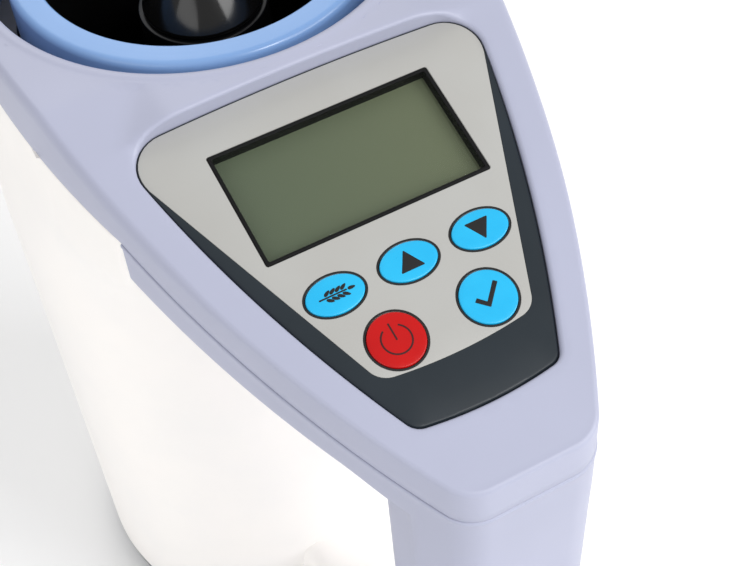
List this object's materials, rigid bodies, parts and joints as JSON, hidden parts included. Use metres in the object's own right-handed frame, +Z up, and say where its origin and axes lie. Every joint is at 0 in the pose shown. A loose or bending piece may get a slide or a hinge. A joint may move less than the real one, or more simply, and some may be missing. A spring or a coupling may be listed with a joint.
{
  "type": "grain moisture meter",
  "caption": "Jug-handled bench moisture meter: an open round measuring chamber with a cone core, a sloped display and keypad panel, and a grip loop.",
  "frame": {"origin": "on the rest plane, under the middle of the object's outline", "axes": "+Z up, -Y towards the reader and the nose of the panel, +X to the reader's right"},
  "size_m": [0.1104, 0.192, 0.212],
  "materials": {
    "cover_lavender": "satin moulded plastic",
    "body_white": "smooth moulded plastic",
    "collar_blue": "smooth moulded plastic",
    "plate_slate": "fine satin",
    "overlay_grey": "printed film",
    "key_blue": "printed key",
    "key_red": "printed key",
    "window_clear": "clear pane",
    "bezel_black": "matt",
    "lcd_green": "liquid crystal glass",
    "light_guide": "diffuser",
    "board_green": "solder mask",
    "chip_black": "epoxy",
    "chamber_black": "polished dark plastic",
    "electrode_dark": "dark anodised",
    "beam_aluminium": "milled",
    "fastener_steel": "zinc plated",
    "inner_grey": "moulded",
    "foot_rubber": "matt",
    "cell_jacket": "printed jacket",
    "contact_metal": "nickel plated"
  },
  "bodies": {
    "housing": {"top_cover": "cover_lavender", "handle_frame": "cover_lavender", "grip_cover": "cover_lavender", "keypad_plate": "plate_slate", "panel_overlay": "overlay_grey", "display_bezel": "bezel_black", "display_window": "window_clear", "lcd_glass": "lcd_green", "lcd_backlight": "light_guide", "main_board": "board_green", "board_parts": "chip_black", "tact_switches": "chip_black", "board_screws": "fastener_steel", "dust_guard": "inner_grey", "body_shell": "body_white", "base_plate": "body_white", "base_screws": "fastener_steel", "grip_screws": "fastener_steel", "load_cell_fixed_half": "beam_aluminium", "load_cell_bolts": "fastener_steel", "load_cell_pedestal": "inner_grey", "pedestal_screws": "fastener_steel", "battery_holder": "inner_grey", "battery_contacts": "contact_metal", "rubber_foot_1": "foot_rubber", "battery_cell_1": "cell_jacket", "rubber_foot_2": "foot_rubber", "battery_cell_2": "cell_jacket", "rubber_foot_3": "foot_rubber", "battery_cell_3": "cell_jacket", "rubber_foot_4": "foot_rubber", "battery_cell_4": "cell_jacket"},
    "chamber": {"chamber_collar": "collar_blue", "chamber_cup": "inner_grey", "outer_electrode": "electrode_dark", "chamber_floor": "chamber_black", "core_electrode": "electrode_dark", "core_cone": "chamber_black", "temperature_probe": "fastener_steel", "meter_board": "board_green", "chamber_bracket": "beam_aluminium", "bracket_bolts": "fastener_steel", "load_cell_live_half": "beam_aluminium"},
    "door": {"battery_door": "body_white"},
    "power_key_body": {"power_key": "key_red"},
    "ok_key_body": {"ok_key": "key_blue"},
    "species_key_body": {"species_key": "key_blue"},
    "up_key_body": {"up_key": "key_blue"},
    "down_key_body": {"down_key": "key_blue"}
  },
  "joints": [
    {"name": "chamber_weigh", "type": "slide", "parent": "housing", "child": "chamber", "axis": [0, 0, -1], "range_m": [0, 0.0005], "stiffness_N_per_m": 15000, "springref_m": -0.00022},
    {"name": "battery_door_pull", "type": "slide", "parent": "housing", "child": "door", "axis": [0, 1, 0], "range_m": [0, 0.07]},
    {"name": "power_key_press", "type": "slide", "parent": "housing", "child": "power_key_body", "axis": [0, 0.2672, -0.9636], "range_m": [0, 0.0004], "stiffness_N_per_m": 1500},
    {"name": "ok_key_press", "type": "slide", "parent": "housing", "child": "ok_key_body", "axis": [0, 0.2672, -0.9636], "range_m": [0, 0.0004], "stiffness_N_per_m": 1500},
    {"name": "species_key_press", "type": "slide", "parent": "housing", "child": "species_key_body", "axis": [0, 0.2672, -0.9636], "range_m": [0, 0.0004], "stiffness_N_per_m": 1500},
    {"name": "up_key_press", "type": "slide", "parent": "housing", "child": "up_key_body", "axis": [0, 0.2672, -0.9636], "range_m": [0, 0.0004], "stiffness_N_per_m": 1500},
    {"name": "down_key_press", "type": "slide", "parent": "housing", "child": "down_key_body", "axis": [0, 0.2672, -0.9636], "range_m": [0, 0.0004], "stiffness_N_per_m": 1500}
  ]
}
